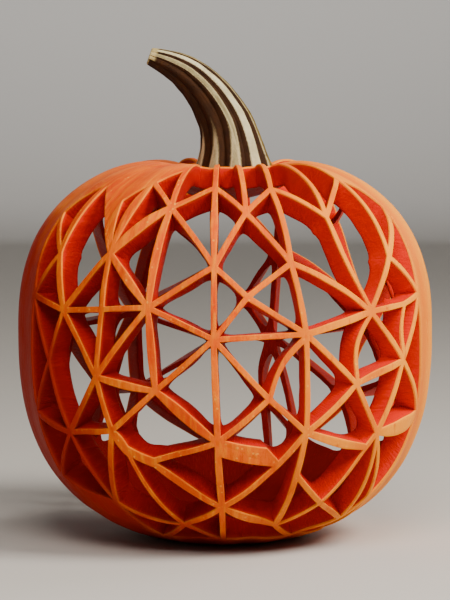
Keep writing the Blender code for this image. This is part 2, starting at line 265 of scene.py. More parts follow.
# The lamps, each aimed at the lantern but for the one on the wall, which is tilted by its own angle
Lamp = namedtuple("Lamp", "azimuth elevation distance size power shade")
LAMPS = {
    "key": Lamp(58, 42, 1.8, 0.7, 46, (1.0, 0.94, 0.84)),
    "front": Lamp(2, 44, 1.8, 0.9, 25, (1.0, 0.93, 0.84)),
    "side": Lamp(115, 28, 1.8, 0.8, 9, (1.0, 0.94, 0.86)),
    "wall": Lamp(180, 35, 3.2, 1.6, 60, (1.0, 1.0, 1.0)),
}
WALL_LAMP_TILT = 100
WORLD_SHADE = (1.0, 0.98, 0.96, 1.0)
WORLD_STRENGTH = 0.08


def direction(azimuth, down):
    turn = math.radians(azimuth)
    fall = math.radians(down)
    return Vector((math.sin(fall) * math.sin(turn), -math.sin(fall) * math.cos(turn), math.cos(fall)))


def furrow_at(way):
    """1 in the bottom of a furrow between two ribs, 0 on the ribs."""
    azimuth = math.atan2(way.x, -way.y) + math.radians(RIB_TURN)
    return (0.5 + 0.5 * math.cos(RIB_COUNT * azimuth)) ** 2


def skin(way, rib_depth=RIB_DEPTH):
    """The point of the skin seen from the body's centre along the unit vector way."""
    level = math.hypot(way.x, way.y)
    edge = 1 - (FOOT_RADIUS / WIDEST_RADIUS) ** SQUARENESS
    drop_below_centre = CENTRE_HEIGHT / edge ** (1 / SQUARENESS)
    height = RISE_ABOVE_CENTRE if way.z > 0 else drop_below_centre
    squared = (level / WIDEST_RADIUS) ** SQUARENESS + (abs(way.z) / height) ** SQUARENESS
    reach = squared ** (-1 / SQUARENESS)
    point = way * (reach - rib_depth * furrow_at(way) * level)
    radius = math.hypot(point.x, point.y)
    if way.z > 0:
        point.z -= DIMPLE_DEPTH * math.exp(-(radius / DIMPLE_RADIUS) ** 2)
    point.z = max(point.z + CENTRE_HEIGHT, 0.0)
    return point


def skin_normal(way):
    across = way.orthogonal().normalized() * NORMAL_STEP
    up = way.cross(across)
    run = skin((way + across).normalized()) - skin((way - across).normalized())
    rise = skin((way + up).normalized()) - skin((way - up).normalized())
    return run.cross(rise).normalized()


def eye():
    """Where the photograph was taken from."""
    return VIEW_TARGET + direction(0, 90 - VIEW_ELEVATION) * VIEW_DISTANCE


def azimuth_of(way):
    return math.degrees(math.atan2(way.x, -way.y))


def seen_at(across, down):
    """The azimuth and angle down, in whole degrees, of the smooth fruit's place at a pixel."""
    centre = Vector((0.0, 0.0, CENTRE_HEIGHT))
    ahead = (VIEW_TARGET - eye()).normalized()
    right = Vector((1.0, 0.0, 0.0))
    up = right.cross(ahead)
    off_middle = right * (across - PHOTO_MIDDLE[0]) + up * (PHOTO_MIDDLE[1] - down)
    sight = ahead + off_middle / (VIEW_LENS / VIEW_SENSOR * PHOTO_HEIGHT)
    reach = VIEW_DISTANCE - 2 * WIDEST_RADIUS
    step = SEEN_STEP
    while step > SEEN_ACCURACY:
        way = eye() + sight * (reach + step) - centre
        if way.length <= (skin(way.normalized(), 0.0) - centre).length:
            step /= 2
        elif reach > VIEW_DISTANCE:
            raise ValueError(f"no fruit at pixel {across}, {down}")
        else:
            reach += step
    return round(azimuth_of(way)), round(math.degrees(math.acos(way.normalized().z)))


def twin(name):
    """The name of the same knot at the back."""
    return name if name in ON_THE_SIDES else name.upper()


def knot_directions():
    """Every knot of the net by name: rows a to l in front, their twins behind, and the foot's ring m."""
    places = {name: seen_at(*pixel) for name, pixel in FRONT_PIXELS.items()}
    places.update(FRONT_PLACES)
    knots = {}
    for name, (azimuth, down) in places.items():
        knots[name] = direction(azimuth, down)
        if name[0] in BACK_ROWS and name not in FRONT_ONLY:
            knots[twin(name)] = direction(180 - BACK_STRETCH * azimuth, BACK_STRETCH * down)
    for ring, down in ((COLLAR, COLLAR_DOWN), (SKIRT, SKIRT_DOWN)):
        for name, azimuth in ring.items():
            knots[twin(name)] = direction(180 - azimuth, down)
            knots[name] = direction(azimuth, down)
    for name, place in BACK_PLACES.items():
        knots[name] = direction(*place)
    foot_down = 180 - math.degrees(math.atan(FOOT_RADIUS / CENTRE_HEIGHT))
    for name in ring_of(knots, "l"):
        knots[name.replace("l", "m").replace("L", "M")] = direction(azimuth_of(knots[name]), foot_down)
    return knots


def ring_of(knots, letter):
    """The names of a ring's knots in order round the body."""
    names = [name for name in knots if name[0].lower() == letter]
    return sorted(names, key=lambda name: azimuth_of(knots[name]))


def strut_table(knots):
    """Every strut, keyed by its two knots, with its widths in mm."""
    struts = {}

    def add(first, second, strut):
        if first > second:
            first, second, strut = second, first, strut._replace(bow=-strut.bow)
        struts[first, second] = strut

    for chain in (FRONT_CHAINS + JOINING_CHAINS).strip().splitlines():
        names = chain.split()
        for first, second in zip(names, names[1:]):
            add(first, second, PLAIN)
    for pair, strut in SPECIAL.items():
        add(*pair.split(), strut)
    for (first, second), strut in list(struts.items()):
        if twin(first) in knots and twin(second) in knots and (first + second).islower():
            add(twin(first), twin(second), strut._replace(bow=-strut.bow))
    for letter in "alm":
        names = ring_of(knots, letter)
        for first, second in zip(names, names[1:] + names[:1]):
            add(first, second, PLAIN)
    for name in ring_of(knots, "l"):
        add(name, name.replace("l", "m").replace("L", "M"), PLAIN)
    return struts


def faces_of(knots, struts):
    """The cells of the net, each a list of knots in turn with the cell on the left."""
    around = {name: [] for name in knots}
    for first, second in struts:
        around[first].append(second)
        around[second].append(first)
    for name, others in around.items():
        centre = knots[name]
        across = centre.orthogonal().normalized()
        up = centre.cross(across)
        others.sort(key=lambda other: math.atan2((knots[other] - centre).dot(up),
                                                 (knots[other] - centre).dot(across)))
    faces = []
    waiting = {(first, second) for pair in struts for first, second in (pair, pair[::-1])}
    while waiting:
        first, second = min(waiting)
        face = []
        while (first, second) in waiting:
            waiting.remove((first, second))
            face.append(first)
            others = around[second]
            first, second = second, others[others.index(first) - 1]
        faces.append(face)
    return faces


def corner(before, knot, after, half_before, half_after):
    """Where the edges of two struts meet beside their knot, on the left of the walk round the cell."""
    left_before = before.cross(knot).normalized()
    left_after = knot.cross(after).normalized()
    turn = left_before.dot(left_after)
    spread = 1 - turn * turn
    if spread < NEARLY_STRAIGHT:
        return (knot + left_before * half_before).normalized()
    part_before = (half_before - turn * half_after) / spread
    part_after = (half_after - turn * half_before) / spread
    return (knot + left_before * part_before + left_after * part_after).normalized()


def waver(point, size, seed):
    """A smooth value between about -1 and 1 that changes over the given size."""
    return noise.noise(point / size + Vector((seed, 2 * seed, 3 * seed)))


class Place:
    """A direction on the body, with the skin there and the way in through the wall."""

    def __init__(self, way):
        self.way = way
        self.outside = skin(way)
        self.normal = skin_normal(way)

    def at(self, depth):
        point = self.outside - self.normal * depth
        if depth < RIND and self.outside.z > 0:
            point += self.normal * SKIN_WOBBLE * waver(point, SKIN_WOBBLE_SIZE, SKIN_SEED)
        if depth > WALL - SAME_DEPTH:
            point += self.normal * SCRAPED_WOBBLE * waver(point, SCRAPED_WOBBLE_SIZE, SCRAPED_SEED)
        return point


class Net:
    """The cut body, from which each layer is built as a closed mesh between two depths."""

    def __init__(self):
        self.knots = knot_directions()
        self.struts = strut_table(self.knots)
        self.faces = faces_of(self.knots, self.struts)
        self.places = {}

    def strut(self, first, second):
        """The strut's half width, belly and bow to the left of the walk, as parts of the body's radius."""
        key = tuple(sorted((first, second)))
        strut = self.struts[key]
        bow = -strut.bow if key == (first, second) else strut.bow
        scale = 1 / MM_PER_METRE / WIDEST_RADIUS
        return strut.half * scale, strut.belly * scale, bow * scale

    def steps(self, first, second, grid):
        length = (skin(self.knots[first]) - skin(self.knots[second])).length
        return max(FEWEST_STEPS, round(length / grid))

    def along(self, first, second, part):
        """A direction on the strut's middle line."""
        start, end = self.knots[first], self.knots[second]
        left = start.cross(end).normalized()
        bow = self.strut(first, second)[2]
        return (start.lerp(end, part) + left * bow * math.sin(math.pi * part)).normalized()

    def corners(self, face):
        found = []
        for index, name in enumerate(face):
            before, after = face[index - 1], face[(index + 1) % len(face)]
            half_before = self.strut(before, name)[0]
            half_after = self.strut(name, after)[0]
            found.append(corner(self.knots[before], self.knots[name], self.knots[after],
                                half_before, half_after))
        return found

    def turns_left(self, face, index):
        """Whether the walk round the cell turns left at a knot, which makes it an inner corner."""
        before, after = self.knots[face[index - 1]], self.knots[face[(index + 1) % len(face)]]
        return before.cross(self.knots[face[index]]).dot(after) > 0

    def can_be_cut(self, face):
        if any(set(face) <= set(names.split()) for names in UNCUT):
            return False
        rows = {name[0].lower() for name in face}
        if rows <= set("lm") or rows == {"a"}:
            return False
        found = self.corners(face)
        for index, name in enumerate(face):
            after = (index + 1) % len(face)
            run = found[after] - found[index]
            if run.dot(self.knots[face[after]] - self.knots[name]) <= 0 or run.length < NARROWEST_CUT:
                return False
        return True

    def place(self, key, way):
        if key not in self.places:
            self.places[key] = Place(way)
        return self.places[key]

    def middle_line(self, first, second, steps):
        """The keys and directions of the points along the strut's middle line."""
        names = tuple(sorted((first, second)))
        row = []
        for step in range(steps + 1):
            along = step if names[0] == first else steps - step
            if along in (0, steps):
                name = names[0] if along == 0 else names[1]
                row.append((name, self.knots[name]))
            else:
                row.append(((names, along), self.along(first, second, step / steps)))
        return row


class Layer:
    """A closed mesh of the net between the depths at which its section starts and ends."""

    def __init__(self, net, section):
        self.net = net
        self.section = section
        self.mesh = bmesh.new()
        layers = self.mesh.verts.layers.float
        self.depth = layers.new("depth")
        self.rim = layers.new("rim")
        self.furrow = layers.new("furrow")
        self.points = {}
        for number, face in enumerate(net.faces):
            if net.can_be_cut(face):
                self.add_cut_face(number, face)
            else:
                self.add_uncut_face(number, face)

    def vertex(self, key, place, depth, shift=Vector(), rim=0.0):
        if key not in self.points:
            made = self.mesh.verts.new(place.at(depth) + shift)
            made[self.depth] = depth / WALL
            made[self.rim] = rim
            made[self.furrow] = furrow_at(place.way)
            self.points[key] = made
        return self.points[key]

    def column(self, middle_key, middle, edge_key, edge, from_corner):
        """The points of the section at one place along the strut."""
        fillet = INNER_FILLET * max(0.0, 1 - from_corner / INNER_FILLET_REACH) ** 2
        side = (edge.outside - middle.outside).normalized()
        halfway = self.net.place((middle_key, edge_key), middle.way.lerp(edge.way, 0.5).normalized())
        points = []
        for number, row in enumerate(self.section):
            if row.part == 0.0:
                points.append(self.vertex((middle_key, row.depth), middle, row.depth))
            elif row.part < 1.0:
                points.append(self.vertex((edge_key, number), halfway, row.depth))
            else:
                bare = edge.outside - edge.normal * row.depth
                shift = CUT_WOBBLE * waver(bare, CUT_WOBBLE_SIZE, CUT_SEED) - row.inset
                if row.depth > RIND:
                    ripple = CUT_RIPPLE * waver(bare, CUT_RIPPLE_SIZE, RIPPLE_SEED)
                    shift += ripple + fillet * (row.depth / WALL) ** 2
                rim = 1.0 if 0 < row.depth else 0.0
                points.append(self.vertex((edge_key, number), edge, row.depth, side * shift, rim))
        return points

    def add_cut_face(self, number, face):
        """The half struts that the knife leaves round an opening, with their cut walls."""
        net = self.net
        found = net.corners(face)
        inner = [net.turns_left(face, index) for index in range(len(face))]
        for index, name in enumerate(face):
            after = (index + 1) % len(face)
            other = face[after]
            steps = net.steps(name, other, ALONG_GRID)
            belly, bow = net.strut(name, other)[1:]
            left = net.knots[name].cross(net.knots[other]).normalized()
            inner_ends = [skin(found[end]) for end in (index, after) if inner[end]]
            columns = []
            for step, (middle_key, way) in enumerate(net.middle_line(name, other, steps)):
                part = step / steps
                edge_way = found[index].lerp(found[after], part)
                edge_way = (edge_way + left * (belly + bow) * math.sin(math.pi * part)).normalized()
                edge_key = (number, index, step) if step < steps else (number, after, 0)
                edge = net.place(edge_key, edge_way)
                spans = [(edge.outside - end).length for end in inner_ends]
                from_corner = min(spans, default=INNER_FILLET_REACH)
                middle = net.place(middle_key, way)
                columns.append(self.column(middle_key, middle, edge_key, edge, from_corner))
            for near, far in zip(columns, columns[1:]):
                for row in range(len(near) - 1):
                    self.mesh.faces.new((near[row], far[row], far[row + 1], near[row + 1]))

    def add_uncut_face(self, number, face):
        """A cell left whole: both faces of the layer, in rings that shrink from its outline to its hub."""
        net = self.net
        hub = sum((net.knots[name] for name in face), Vector()).normalized()
        widest = max((skin(net.knots[name]) - skin(hub)).length for name in face)
        rings = max(FEWEST_RINGS, round(widest / UNCUT_GRID))
        for index, name in enumerate(face):
            after = (index + 1) % len(face)
            steps = net.steps(name, face[after], ALONG_GRID)
            rows = [net.middle_line(name, face[after], steps)]
            for ring in range(1, rings):
                inward = ring / rings
                count = max(1, round(steps * (1 - inward)))
                row = []
                for step in range(count + 1):
                    way = net.along(name, face[after], step / count).lerp(hub, inward).normalized()
                    spoke = index if step == 0 else after if step == count else None
                    key = (number, index, ring, step) if spoke is None else (number, spoke, ring)
                    row.append((key, way))
                rows.append(row)
            rows.append([((number, "hub"), hub)])
            for depth, turn in ((self.section[0].depth, 1), (self.section[-1].depth, -1)):
                sheet = [[self.vertex((key, depth), net.place(key, way), depth) for key, way in row]
                         for row in rows]
                for lower, upper in zip(sheet, sheet[1:]):
                    for corners in zipped(lower, upper):
                        self.mesh.faces.new(corners[::turn])


def zipped(lower, upper):
    """Triangles between two rows of points that run the same way."""
    low, high = 0, 0
    while low < len(lower) - 1 or high < len(upper) - 1:
        low_next = (low + 1) / (len(lower) - 1) if low < len(lower) - 1 else math.inf
        high_next = (high + 1) / (len(upper) - 1) if high < len(upper) - 1 else math.inf
        if low_next <= high_next:
            yield lower[low], lower[low + 1], upper[high]
            low += 1
        else:
            yield lower[low], upper[high + 1], upper[high]
            high += 1


def finished(name, build, material, sharp_angle):
    """An object from a closed mesh, shaded smooth but for its sharp edges."""
    bmesh.ops.recalc_face_normals(build, faces=build.faces)
    data = bpy.data.meshes.new(name)
    build.to_mesh(data)
    build.free()
    data.shade_smooth()
    data.set_sharp_from_angle(angle=math.radians(sharp_angle))
    data.materials.append(material)
    thing = bpy.data.objects.new(name, data)
    bpy.context.scene.collection.objects.link(thing)
    return thing


def stem_point(part):
    """Middle and radius of the stem at a part of its length, on a smooth curve through its route."""
    last = len(STEM_ROUTE) - 1
    place = min(part * last, last - CURVE_END)
    index = int(place)
    t = place - index
    picks = [STEM_ROUTE[max(0, min(last, index + step))] for step in (-1, 0, 1, 2)]
    mix = []
    for a, b, c, d in zip(*picks):
        mix.append(0.5 * (2 * b + (c - a) * t + (2 * a - 5 * b + 4 * c - d) * t ** 2
                          + (3 * b - a - 3 * c + d) * t ** 3) / MM_PER_METRE)
    return Vector((mix[0], 0.0, mix[1])), mix[2]


def clamped(value):
    return max(0.0, min(1.0, value))


def stem_mesh():
    """The ridged loft along the stem's curve, with flaring toes at its foot and a sawn, hollowed tip."""
    build = bmesh.new()
    layers = build.verts.layers.float
    ridge_layer = layers.new("ridge")
    painted_light_and_foot_layer = layers.new("pale")
    tone_layer = layers.new("tone")
    tip_layer = layers.new("tip")
    side = Vector((0, 1, 0))
    rings = []
    parts = [STEM_START + (1 - STEM_START) * ring / (STEM_RINGS - 1) for ring in range(STEM_RINGS)]
    levels = [(part, 1.0, 0.0) for part in parts] + [(1.0, reach, push) for reach, push in TIP_RINGS]
    for part, shrink, push in levels:
        middle, radius = stem_point(part)
        beyond = stem_point(min(1.0, part + STEM_TANGENT_STEP))[0]
        before = stem_point(max(0.0, part - STEM_TANGENT_STEP))[0]
        ahead = (beyond - before).normalized()
        across = side.cross(ahead).normalized()
        toes = max(0.0, 1 - (part - STEM_START) / TOES_END) ** 2
        row = []
        for number in range(STEM_POINTS_ROUND):
            angle = 2 * math.pi * number / STEM_POINTS_ROUND
            turned = angle + math.radians(STEM_TWIST) * part
            out = across * math.cos(turned) + side * math.sin(turned)
            ridge = abs(math.sin(STEM_RIDGES / 2 * angle))
            lengthwise = part * STEM_GRAIN_ALONG + out.z * STEM_GRAIN_ROUND
            grain = noise.noise(Vector((out.x * STEM_GRAIN_ROUND, out.y * STEM_GRAIN_ROUND, lengthwise)))
            relief = STEM_RIDGE_DEPTH * (ridge ** RIDGE_SHARPNESS - RIDGE_MIDDLE)
            reach = radius * (1 + relief + STEM_GRAIN * grain)
            reach += toes * TOES_REACH * (ridge - TOES_MIDDLE)
            point = build.verts.new(middle + out * reach * shrink + ahead * push)
            to_right = math.cos(turned)
            cap = clamped((part - CAP_START) / CAP_FADE) if to_right > CAP_LEFT else 0.0
            point[ridge_layer] = ridge
            # The pale attribute: painted light on the stem's right side, painted shade on its left, and
            # the paler foot
            point[painted_light_and_foot_layer] = max(clamped(PAINTED_LIGHT_MIDDLE + PAINTED_LIGHT_TO_RIGHT * to_right),
                                    PALE_FOOT - PALE_FADE * part)
            point[tone_layer] = RIDGE_TONES[number * STEM_RIDGES // STEM_POINTS_ROUND]
            point[tip_layer] = 1.0 if shrink < 1.0 else cap
            row.append(point)
        rings.append(row)
    for lower, upper in zip(rings, rings[1:]):
        for number in range(STEM_POINTS_ROUND):
            after = (number + 1) % STEM_POINTS_ROUND
            build.faces.new((lower[number], lower[after], upper[after], upper[number]))
    for row in (rings[0], rings[-1]):
        build.faces.new(row)
    return build


def colour(red, green, blue):
    """A colour given as it looks on a screen, 0 to 255, as the linear colour that shaders take."""
    def linear(value):
        value /= 255
        return value / 12.92 if value <= 0.04045 else ((value + 0.055) / 1.055) ** 2.4
    return linear(red), linear(green), linear(blue), 1.0


# A noise by its waves in a metre, a range that a value is taken from and to, and a relief in metres
Grain = namedtuple("Grain", "scale detail roughness")
Range = namedtuple("Range", "low high to_low to_high", defaults=(0.0, 1.0))
Relief = namedtuple("Relief", "strength distance")

# The colour sockets of the Mix node
MIX_PART = 0
MIX_FIRST = 6
MIX_SECOND = 7
MIX_RESULT = 2

# Painted shade, a darker red on the fruit: beyond a slanted border on the left, at the far left, and low
# down, the sides the lamps leave in shade
CHEEK_SLANT = 0.5
CHEEK_RANGE = Range(-0.026, -0.054)
FAR_LEFT_RANGE = Range(-0.118, -0.138)
FOOT_RANGE = Range(0.030, 0.004)
BORDER_GRAIN = Grain(18.0, 3.0, 0.5)
BORDER_WIDTH = 0.05
NOISE_MIDDLE = 0.5
# Painted light: paler and more golden from the middle to the right, the side the key lamp falls on
PAINTED_LIGHT_RANGE = Range(0.0, 0.11)


class Finish:
    """A procedural material, and a short way to add nodes to it."""

    def __init__(self, name, **sockets):
        self.material = bpy.data.materials.new(name)
        self.material.use_nodes = True
        self.tree = self.material.node_tree
        self.shader = self.tree.nodes["Principled BSDF"]
        for socket, value in sockets.items():
            self.shader.inputs[socket.replace("_", " ")].default_value = value

    def add(self, kind, inputs=(), **settings):
        made = self.tree.nodes.new("ShaderNode" + kind)
        for setting, value in settings.items():
            setattr(made, setting, value)
        for socket, value in dict(inputs).items():
            self.put(made.inputs[socket], value)
        return made

    def put(self, socket, value):
        if isinstance(value, bpy.types.NodeSocket):
            self.tree.links.new(value, socket)
        else:
            socket.default_value = value

    def place(self):
        return self.add("TexCoord").outputs["Object"]

    def attribute(self, name):
        return self.add("Attribute", attribute_name=name).outputs["Fac"]

    def noise(self, place, grain):
        inputs = {"Vector": place, "Scale": grain.scale, "Detail": grain.detail,
                  "Roughness": grain.roughness}
        return self.add("TexNoise", inputs).outputs["Fac"]

    def spread(self, value, over):
        """The value taken from one range to another, and kept within it."""
        inputs = {"Value": value, "From Min": over.low, "From Max": over.high,
                  "To Min": over.to_low, "To Max": over.to_high}
        return self.add("MapRange", inputs).outputs["Result"]

    def worked(self, operation, first, second):
        return self.add("Math", {0: first, 1: second}, operation=operation).outputs[0]

    def times(self, first, second):
        return self.worked("MULTIPLY", first, second)

    def plus(self, first, second):
        return self.worked("ADD", first, second)

    def blend(self, part, first, second):
        made = self.add("Mix", data_type="RGBA")
        self.put(made.inputs[MIX_PART], part)
        self.put(made.inputs[MIX_FIRST], first)
        self.put(made.inputs[MIX_SECOND], second)
        return made.outputs[MIX_RESULT]

    def bump(self, height, relief, under=None):
        inputs = {"Height": height, "Strength": relief.strength, "Distance": relief.distance}
        made = self.add("Bump", inputs)
        if under is not None:
            self.put(made.inputs["Normal"], under)
        return made.outputs["Normal"]

    def show(self, shade, roughness, normal):
        for socket, value in (("Base Color", shade), ("Roughness", roughness), ("Normal", normal)):
            self.put(self.shader.inputs[socket], value)

    def painted_shade_side(self):
        """1 where shade is painted as a darker red: on the left cheek and round the foot, with an uneven
        border.
        """
        place = self.place()
        parts = self.add("SeparateXYZ", {0: place})
        waves = self.worked("SUBTRACT", self.noise(place, BORDER_GRAIN), NOISE_MIDDLE)
        uneven = self.times(waves, BORDER_WIDTH)
        slanted = self.plus(parts.outputs["X"], self.times(parts.outputs["Z"], CHEEK_SLANT))
        cheek = self.spread(self.plus(slanted, uneven), CHEEK_RANGE)
        far_left = self.spread(self.plus(parts.outputs["X"], uneven), FAR_LEFT_RANGE)
        foot = self.spread(self.plus(parts.outputs["Z"], uneven), FOOT_RANGE)
        return self.worked("MAXIMUM", self.worked("MAXIMUM", cheek, far_left), foot)

    def painted_light_side(self):
        """Painted light: 0 over most of the fruit, rising to 1 on its right cheek, which is painted paler
        and more golden as if lit.
        """
        parts = self.add("SeparateXYZ", {0: self.place()})
        return self.spread(parts.outputs["X"], PAINTED_LIGHT_RANGE)

    def meridians(self, stretch):
        """Coordinates in which noise runs in streaks from the stem down to the foot."""
        parts = self.add("SeparateXYZ", {0: self.place()})
        turn = self.worked("ARCTAN2", parts.outputs["X"], self.times(parts.outputs["Y"], -1.0))
        level = self.times(parts.outputs["Z"], stretch)
        return self.add("CombineXYZ", {"X": turn, "Y": level, "Z": 0.0}).outputs[0]


# The rind's colours
RIND_ORANGE = colour(226, 74, 0)
RIND_LIGHT_ORANGE = colour(248, 112, 0)
# Painted light: the paler gold of the lit right side
RIND_PAINTED_LIGHT = colour(255, 160, 20)
RIND_PALE_STREAK = colour(255, 150, 12)
RIND_DARK_STREAK = colour(214, 66, 0)
RIND_FURROW = colour(216, 70, 0)
RIND_SPECK = colour(255, 180, 70)
RIND_EDGE = colour(255, 160, 40)
# Painted shade: the darker red of the shaded left cheek and foot
RIND_PAINTED_SHADE = colour(164, 16, 0)
# Its patterns, and how much of each shows
RIND_GLOSS = 0.07
RIND_GLOSS_TINT = (1.0, 0.62, 0.30, 1.0)
RIND_STREAK_STRETCH = 1.6
RIND_STREAKS = Grain(30.0, 4.0, 0.6)
RIND_PALE_STREAKS = Range(0.48, 0.68, 0.0, 0.7)
RIND_DARK_STREAKS = Range(0.42, 0.30, 0.0, 0.6)
RIND_PATCHES = Grain(26.0, 4.0, 0.6)
RIND_PATCH_RANGE = Range(0.38, 0.62)
RIND_PAINTED_LIGHT_SHARE = 0.9
RIND_FURROWS = Range(0.15, 1.0, 0.0, 0.5)
RIND_SPECK_SCALE = 230.0
RIND_SPECK_SIZES = Range(0.24, 0.14)
RIND_SPECK_GROUPS = Grain(70.0, 3.0, 0.5)
RIND_SPECK_GROUP_RANGE = Range(0.46, 0.60, 0.0, 0.6)
RIND_EDGE_WEAR = Grain(90.0, 3.0, 0.5)
RIND_EDGE_RANGE = Range(0.3, 0.6, 0.15, 0.6)
RIND_PAINTED_SHADE_SHARE = 0.95
RIND_ROUGHNESS = Range(0.3, 0.7, 0.56, 0.44)
RIND_PORES = Grain(900.0, 3.0, 0.5)
RIND_PORE_RELIEF = Relief(0.35, 0.0004)
RIND_STREAK_RELIEF = Relief(0.6, 0.0014)


def rind_finish():
    """Waxy orange skin: paler streaks down the ribs, deeper furrows, pale specks, a light cut edge."""
    rind = Finish("rind", Specular_IOR_Level=RIND_GLOSS, Specular_Tint=RIND_GLOSS_TINT)
    place = rind.place()
    streaks = rind.noise(rind.meridians(RIND_STREAK_STRETCH), RIND_STREAKS)
    patches = rind.noise(place, RIND_PATCHES)
    shade = rind.blend(rind.spread(patches, RIND_PATCH_RANGE), RIND_ORANGE, RIND_LIGHT_ORANGE)
    # Painted light: the right side turns paler and more golden
    shade = rind.blend(rind.times(rind.painted_light_side(), RIND_PAINTED_LIGHT_SHARE), shade, RIND_PAINTED_LIGHT)
    shade = rind.blend(rind.spread(streaks, RIND_PALE_STREAKS), shade, RIND_PALE_STREAK)
    shade = rind.blend(rind.spread(streaks, RIND_DARK_STREAKS), shade, RIND_DARK_STREAK)
    shade = rind.blend(rind.spread(rind.attribute("furrow"), RIND_FURROWS), shade, RIND_FURROW)
    dots = rind.add("TexVoronoi", {"Vector": place, "Scale": RIND_SPECK_SCALE}).outputs["Distance"]
    groups = rind.spread(rind.noise(place, RIND_SPECK_GROUPS), RIND_SPECK_GROUP_RANGE)
    shade = rind.blend(rind.times(rind.spread(dots, RIND_SPECK_SIZES), groups), shade, RIND_SPECK)
    wear = rind.spread(rind.noise(place, RIND_EDGE_WEAR), RIND_EDGE_RANGE)
    shade = rind.blend(rind.times(rind.attribute("rim"), wear), shade, RIND_EDGE)
    # Painted shade: the left cheek and foot turn a darker red
    shade = rind.blend(rind.times(rind.painted_shade_side(), RIND_PAINTED_SHADE_SHARE), shade, RIND_PAINTED_SHADE)
    pores = rind.bump(rind.noise(place, RIND_PORES), RIND_PORE_RELIEF)
    rind.show(shade, rind.spread(patches, RIND_ROUGHNESS), rind.bump(streaks, RIND_STREAK_RELIEF, pores))
    return rind.material


# The flesh's colours
FLESH_RED = colour(164, 2, 0)
FLESH_LIGHT_RED = colour(192, 10, 0)
# Painted light: the brighter red of the lit right side
FLESH_PAINTED_LIGHT = colour(240, 36, 0)
FLESH_UNDER_RIND = colour(226, 48, 0)
FLESH_SCRAPED = colour(96, 2, 0)
FLESH_FIBRE = colour(222, 40, 0)
# Painted shade: the darker red of the flesh on the shaded left and low down
FLESH_PAINTED_SHADE = colour(112, 3, 0)
# Its patterns, and how much of each shows; a depth is a part of the wall
FLESH_GLOSS = 0.16
FLESH_GLOSS_TINT = (1.0, 0.45, 0.30, 1.0)
FLESH_GLOW = 0.10
FLESH_GLOW_REACH = (0.004, 0.0004, 0.0002)
FLESH_MOTTLE = Grain(60.0, 4.0, 0.6)
FLESH_MOTTLE_RANGE = Range(0.3, 0.7)
FLESH_PAINTED_LIGHT_SHARE = 0.7
FLESH_RIND_DEPTHS = Range(0.09, 0.24, 1.0, 0.0)
FLESH_RIND_SHARE = 0.6
FLESH_SCRAPED_DEPTHS = Range(0.93, 1.0)
FLESH_SCRAPED_SHARE = 0.6
FLESH_FIBRE_STRETCH = 1.2
FLESH_FIBRES = Grain(160.0, 3.0, 0.6)
FLESH_FIBRE_RANGE = Range(0.52, 0.72, 0.0, 0.4)
FLESH_PAINTED_SHADE_SHARE = 0.6
FLESH_ROUGHNESS = Range(0.3, 0.7, 0.42, 0.60)
FLESH_CELLS = Grain(700.0, 3.0, 0.7)
FLESH_CELL_RELIEF = Relief(0.45, 0.0005)
FLESH_FIBRE_RELIEF = Relief(0.7, 0.0014)


def flesh_finish():
    """Moist cut flesh: deep red, brighter just under the rind, darker and stringy where it is scraped."""
    flesh = Finish("flesh", Specular_IOR_Level=FLESH_GLOSS, Specular_Tint=FLESH_GLOSS_TINT,
                   Subsurface_Weight=FLESH_GLOW, Subsurface_Radius=FLESH_GLOW_REACH, Subsurface_Scale=1.0)
    place = flesh.place()
    depth = flesh.attribute("depth")
    mottle = flesh.noise(place, FLESH_MOTTLE)
    fibres = flesh.noise(flesh.meridians(FLESH_FIBRE_STRETCH), FLESH_FIBRES)
    shade = flesh.blend(flesh.spread(mottle, FLESH_MOTTLE_RANGE), FLESH_RED, FLESH_LIGHT_RED)
    # Painted light: the flesh turns brighter on the right side
    shade = flesh.blend(flesh.times(flesh.painted_light_side(), FLESH_PAINTED_LIGHT_SHARE), shade, FLESH_PAINTED_LIGHT)
    under_rind = flesh.times(flesh.spread(depth, FLESH_RIND_DEPTHS), FLESH_RIND_SHARE)
    shade = flesh.blend(under_rind, shade, FLESH_UNDER_RIND)
    scraped = flesh.times(flesh.spread(depth, FLESH_SCRAPED_DEPTHS), FLESH_SCRAPED_SHARE)
    shade = flesh.blend(scraped, shade, FLESH_SCRAPED)
    shade = flesh.blend(flesh.spread(fibres, FLESH_FIBRE_RANGE), shade, FLESH_FIBRE)
    # Painted shade: the flesh turns darker on the left cheek and round the foot
    shade = flesh.blend(flesh.times(flesh.painted_shade_side(), FLESH_PAINTED_SHADE_SHARE), shade, FLESH_PAINTED_SHADE)
    cells = flesh.bump(flesh.noise(place, FLESH_CELLS), FLESH_CELL_RELIEF)
    flesh.show(shade, flesh.spread(mottle, FLESH_ROUGHNESS), flesh.bump(fibres, FLESH_FIBRE_RELIEF, cells))
    return flesh.material


# The stem's colours, each from a darker to a lighter one
STEM_CREAM = (colour(206, 194, 148), colour(230, 222, 182))
STEM_OLIVE = (colour(92, 72, 14), colour(126, 106, 40))
STEM_GROOVE = (colour(42, 18, 0), colour(60, 30, 4))
STEM_CUT = (colour(168, 146, 92), colour(204, 184, 132))
# Painted highlight: a pale line along both edges of each ridge's crest
STEM_PAINTED_HIGHLIGHT = colour(222, 206, 160)
STEM_FIBRE = colour(96, 62, 20)
